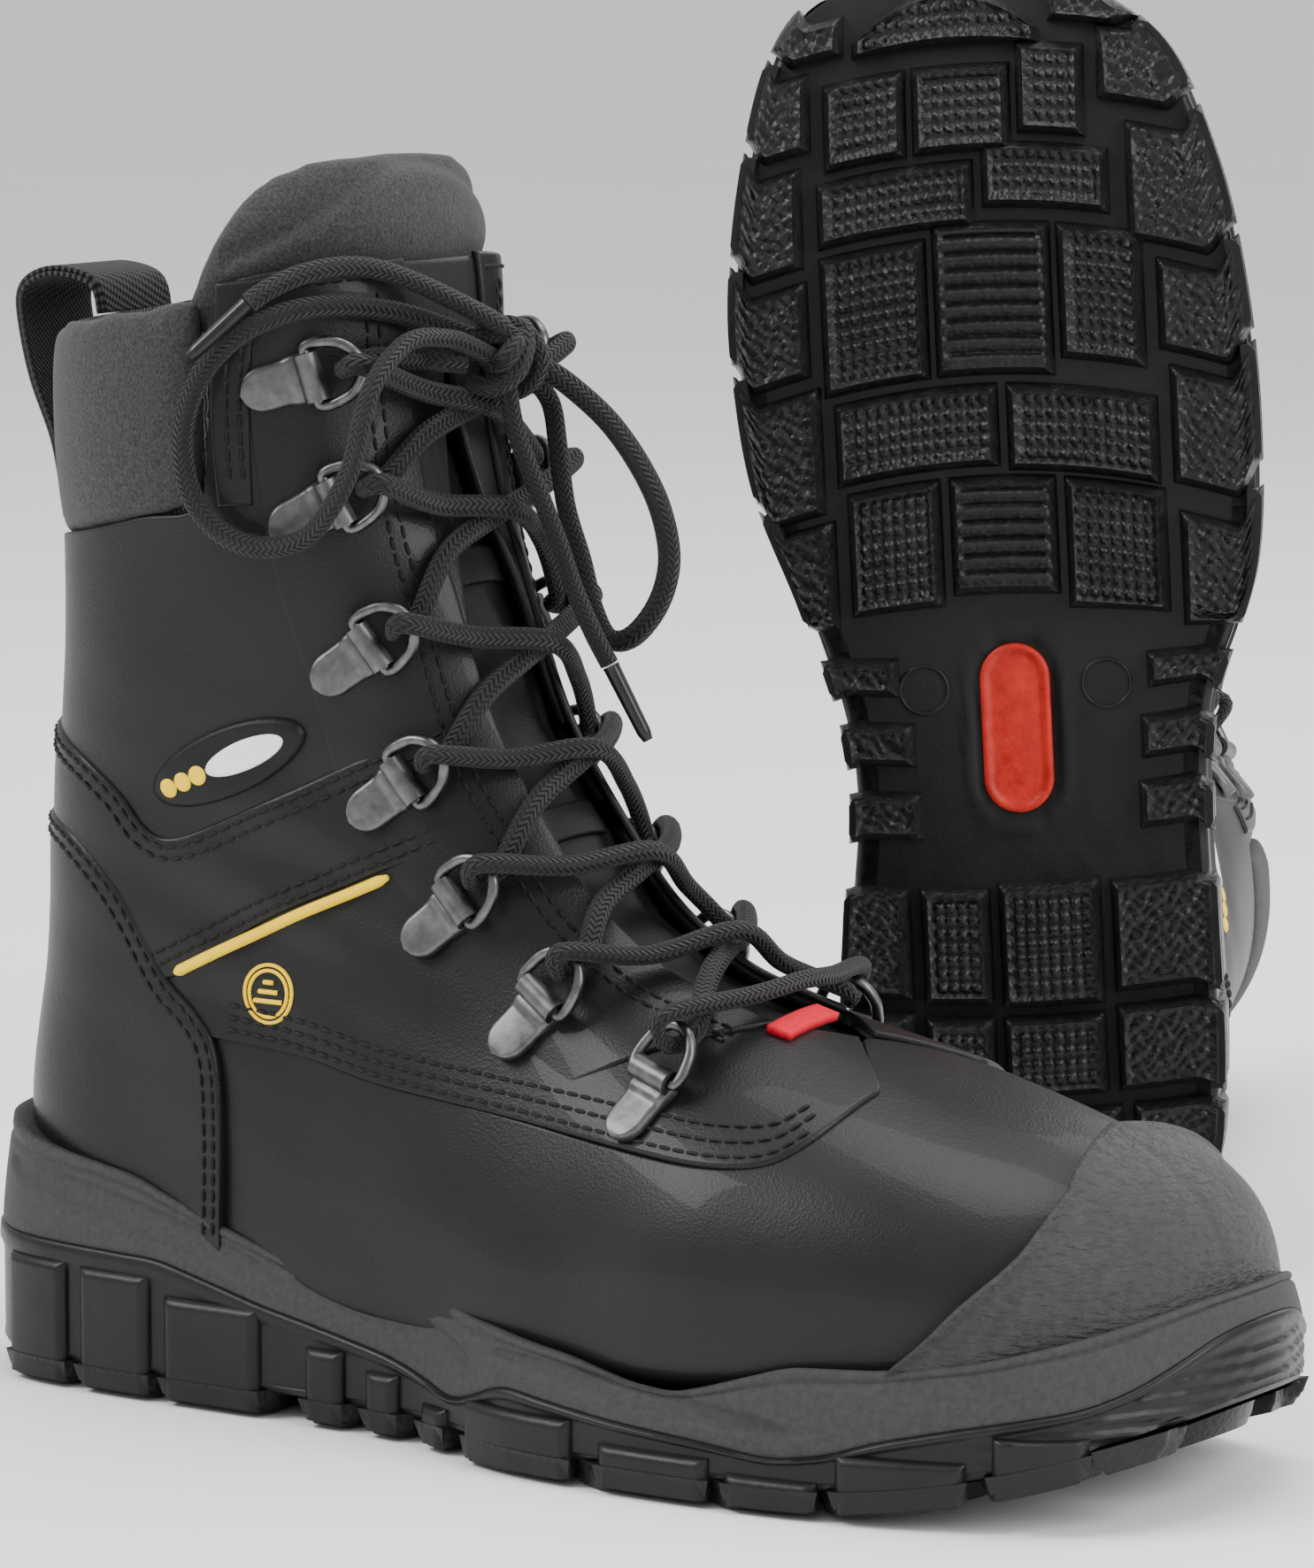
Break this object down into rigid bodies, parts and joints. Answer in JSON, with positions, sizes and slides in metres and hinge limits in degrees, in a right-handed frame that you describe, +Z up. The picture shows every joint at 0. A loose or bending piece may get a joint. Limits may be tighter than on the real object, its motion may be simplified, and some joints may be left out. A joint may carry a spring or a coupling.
{
  "type": "pair of lace-up safety boots",
  "caption": "Pair of black leather lace-up winter boots with a padded collar, moulded toe guard and deep-lugged sole; one stands, the other lies showing its sole.",
  "frame": {"origin": "middle of the pair's box, on the ground", "axes": "+X from the right boot's heel to its toe, +Y from the right boot to the left boot, +Z up"},
  "size_m": [0.3016, 0.4616, 0.3014],
  "materials": {
    "leather_upper": "smooth grain, soft sheen",
    "leather_trim": "smooth grain, satin",
    "collar_textile": "matt brushed textile",
    "pile_lining": "deep pile",
    "footbed_textile": "matt",
    "webbing": "woven, matt",
    "midsole_foam": "grained, matt",
    "outsole_rubber": "moulded, matt",
    "badge_rubber": "satin",
    "ring_steel": "dark antique",
    "board": "pressed fibre",
    "cap": "satin",
    "lace_braid": "braided, matt",
    "lace_tip": "satin",
    "piping": "satin",
    "inlay": "satin",
    "side_tab": "woven, matt"
  },
  "bodies": {
    "right_boot": {"heel_counter": "leather_upper", "vamp": "leather_upper", "shaft_panel_outer": "leather_upper", "shaft_panel_inner": "leather_upper", "side_band_outer": "leather_upper", "side_band_inner": "leather_upper", "quarter_outer": "leather_upper", "quarter_inner": "leather_upper", "tongue": "leather_trim", "eyestay_outer": "leather_trim", "eyestay_inner": "leather_trim", "collar_pad": "collar_textile", "tongue_pad": "collar_textile", "footbed": "footbed_textile", "lining": "pile_lining", "tongue_label": "webbing", "pull_loop": "webbing", "midsole": "midsole_foam", "toe_guard": "midsole_foam", "outsole": "outsole_rubber", "badge": "badge_rubber", "heel_stiffener": "board", "insole_board": "board", "toe_cap": "cap", "lace": "lace_braid", "lace_knot": "lace_braid", "lace_loop_outer": "lace_braid", "lace_loop_inner": "lace_braid", "lace_tail_outer": "lace_braid", "lace_tail_inner": "lace_braid", "lace_tip_outer": "lace_tip", "lace_tip_inner": "lace_tip", "piping_outer": "piping", "piping_inner": "piping", "sole_inlay": "inlay", "side_tab": "side_tab"},
    "left_boot": {"left_upper": "leather_upper", "left_tongue": "leather_trim", "left_collar_pad": "collar_textile", "left_footbed": "footbed_textile", "left_pull_loop": "webbing", "left_midsole": "midsole_foam", "left_outsole": "outsole_rubber", "left_sole_inlay": "inlay"},
    "ring_outer_1": {"lacing_ring_outer_1": "ring_steel"},
    "ring_inner_1": {"lacing_ring_inner_1": "ring_steel"},
    "ring_outer_2": {"lacing_ring_outer_2": "ring_steel"},
    "ring_inner_2": {"lacing_ring_inner_2": "ring_steel"},
    "ring_outer_3": {"lacing_ring_outer_3": "ring_steel"},
    "ring_inner_3": {"lacing_ring_inner_3": "ring_steel"},
    "ring_outer_4": {"lacing_ring_outer_4": "ring_steel"},
    "ring_inner_4": {"lacing_ring_inner_4": "ring_steel"},
    "ring_outer_5": {"lacing_ring_outer_5": "ring_steel"},
    "ring_inner_5": {"lacing_ring_inner_5": "ring_steel"},
    "ring_outer_6": {"lacing_ring_outer_6": "ring_steel"},
    "ring_inner_6": {"lacing_ring_inner_6": "ring_steel"},
    "ring_outer_7": {"lacing_ring_outer_7": "ring_steel"},
    "ring_inner_7": {"lacing_ring_inner_7": "ring_steel"}
  },
  "joints": [
    {"name": "left_boot_lift", "type": "slide", "parent": "right_boot", "child": "left_boot", "axis": [0, 0, 1], "range_m": [0, 0.35]},
    {"name": "ring_hinge_outer_1", "type": "hinge", "parent": "right_boot", "child": "ring_outer_1", "pos_m": [0.03319, -0.20894, 0.08196], "axis": [-0.9409, 0.2188, 0.2587], "range_deg": [-10, 1]},
    {"name": "ring_hinge_inner_1", "type": "hinge", "parent": "right_boot", "child": "ring_inner_1", "pos_m": [0.03291, -0.13538, 0.08201], "axis": [0.9312, 0.279, -0.2345], "range_deg": [-6, 5]},
    {"name": "ring_hinge_outer_2", "type": "hinge", "parent": "right_boot", "child": "ring_outer_2", "pos_m": [0.00198, -0.20427, 0.09394], "axis": [-0.8289, 0.1231, 0.5457], "range_deg": [-6, 5]},
    {"name": "ring_hinge_inner_2", "type": "hinge", "parent": "right_boot", "child": "ring_inner_2", "pos_m": [0.00206, -0.14084, 0.0938], "axis": [0.8202, 0.0946, -0.5643], "range_deg": [-7, 3]},
    {"name": "ring_hinge_outer_3", "type": "hinge", "parent": "right_boot", "child": "ring_outer_3", "pos_m": [-0.02002, -0.20345, 0.11182], "axis": [-0.7016, 0.0523, 0.7106], "range_deg": [-4, 5]},
    {"name": "ring_hinge_inner_3", "type": "hinge", "parent": "right_boot", "child": "ring_inner_3", "pos_m": [-0.0201, -0.14138, 0.11186], "axis": [0.7047, 0.071, -0.7059], "range_deg": [-6, 4]},
    {"name": "ring_hinge_outer_4", "type": "hinge", "parent": "right_boot", "child": "ring_outer_4", "pos_m": [-0.03421, -0.20194, 0.13582], "axis": [-0.6017, -0.1097, 0.7912], "range_deg": [0, 5]},
    {"name": "ring_hinge_inner_4", "type": "hinge", "parent": "right_boot", "child": "ring_inner_4", "pos_m": [-0.03418, -0.14277, 0.13577], "axis": [0.5985, -0.1205, -0.792], "range_deg": [-1, 3]},
    {"name": "ring_hinge_outer_5", "type": "hinge", "parent": "right_boot", "child": "ring_outer_5", "pos_m": [-0.04171, -0.20296, 0.16337], "axis": [-0.5339, -0.2448, 0.8094], "range_deg": [-6, 5]},
    {"name": "ring_hinge_inner_5", "type": "hinge", "parent": "right_boot", "child": "ring_inner_5", "pos_m": [-0.04172, -0.1417, 0.16337], "axis": [0.536, -0.2428, -0.8085], "range_deg": [-9, 4]},
    {"name": "ring_hinge_outer_6", "type": "hinge", "parent": "right_boot", "child": "ring_outer_6", "pos_m": [-0.048, -0.20631, 0.1935], "axis": [-0.3577, -0.2819, 0.8903], "range_deg": [-6, 6]},
    {"name": "ring_hinge_inner_6", "type": "hinge", "parent": "right_boot", "child": "ring_inner_6", "pos_m": [-0.048, -0.13837, 0.19351], "axis": [0.3601, -0.2815, -0.8895], "range_deg": [-8, 5]},
    {"name": "ring_hinge_outer_7", "type": "hinge", "parent": "right_boot", "child": "ring_outer_7", "pos_m": [-0.05171, -0.20929, 0.21949], "axis": [-0.2125, -0.1771, 0.961], "range_deg": [-5, 5]},
    {"name": "ring_hinge_inner_7", "type": "hinge", "parent": "right_boot", "child": "ring_inner_7", "pos_m": [-0.05172, -0.1354, 0.21949], "axis": [0.2141, -0.1769, -0.9607], "range_deg": [-8, 4]}
  ]
}
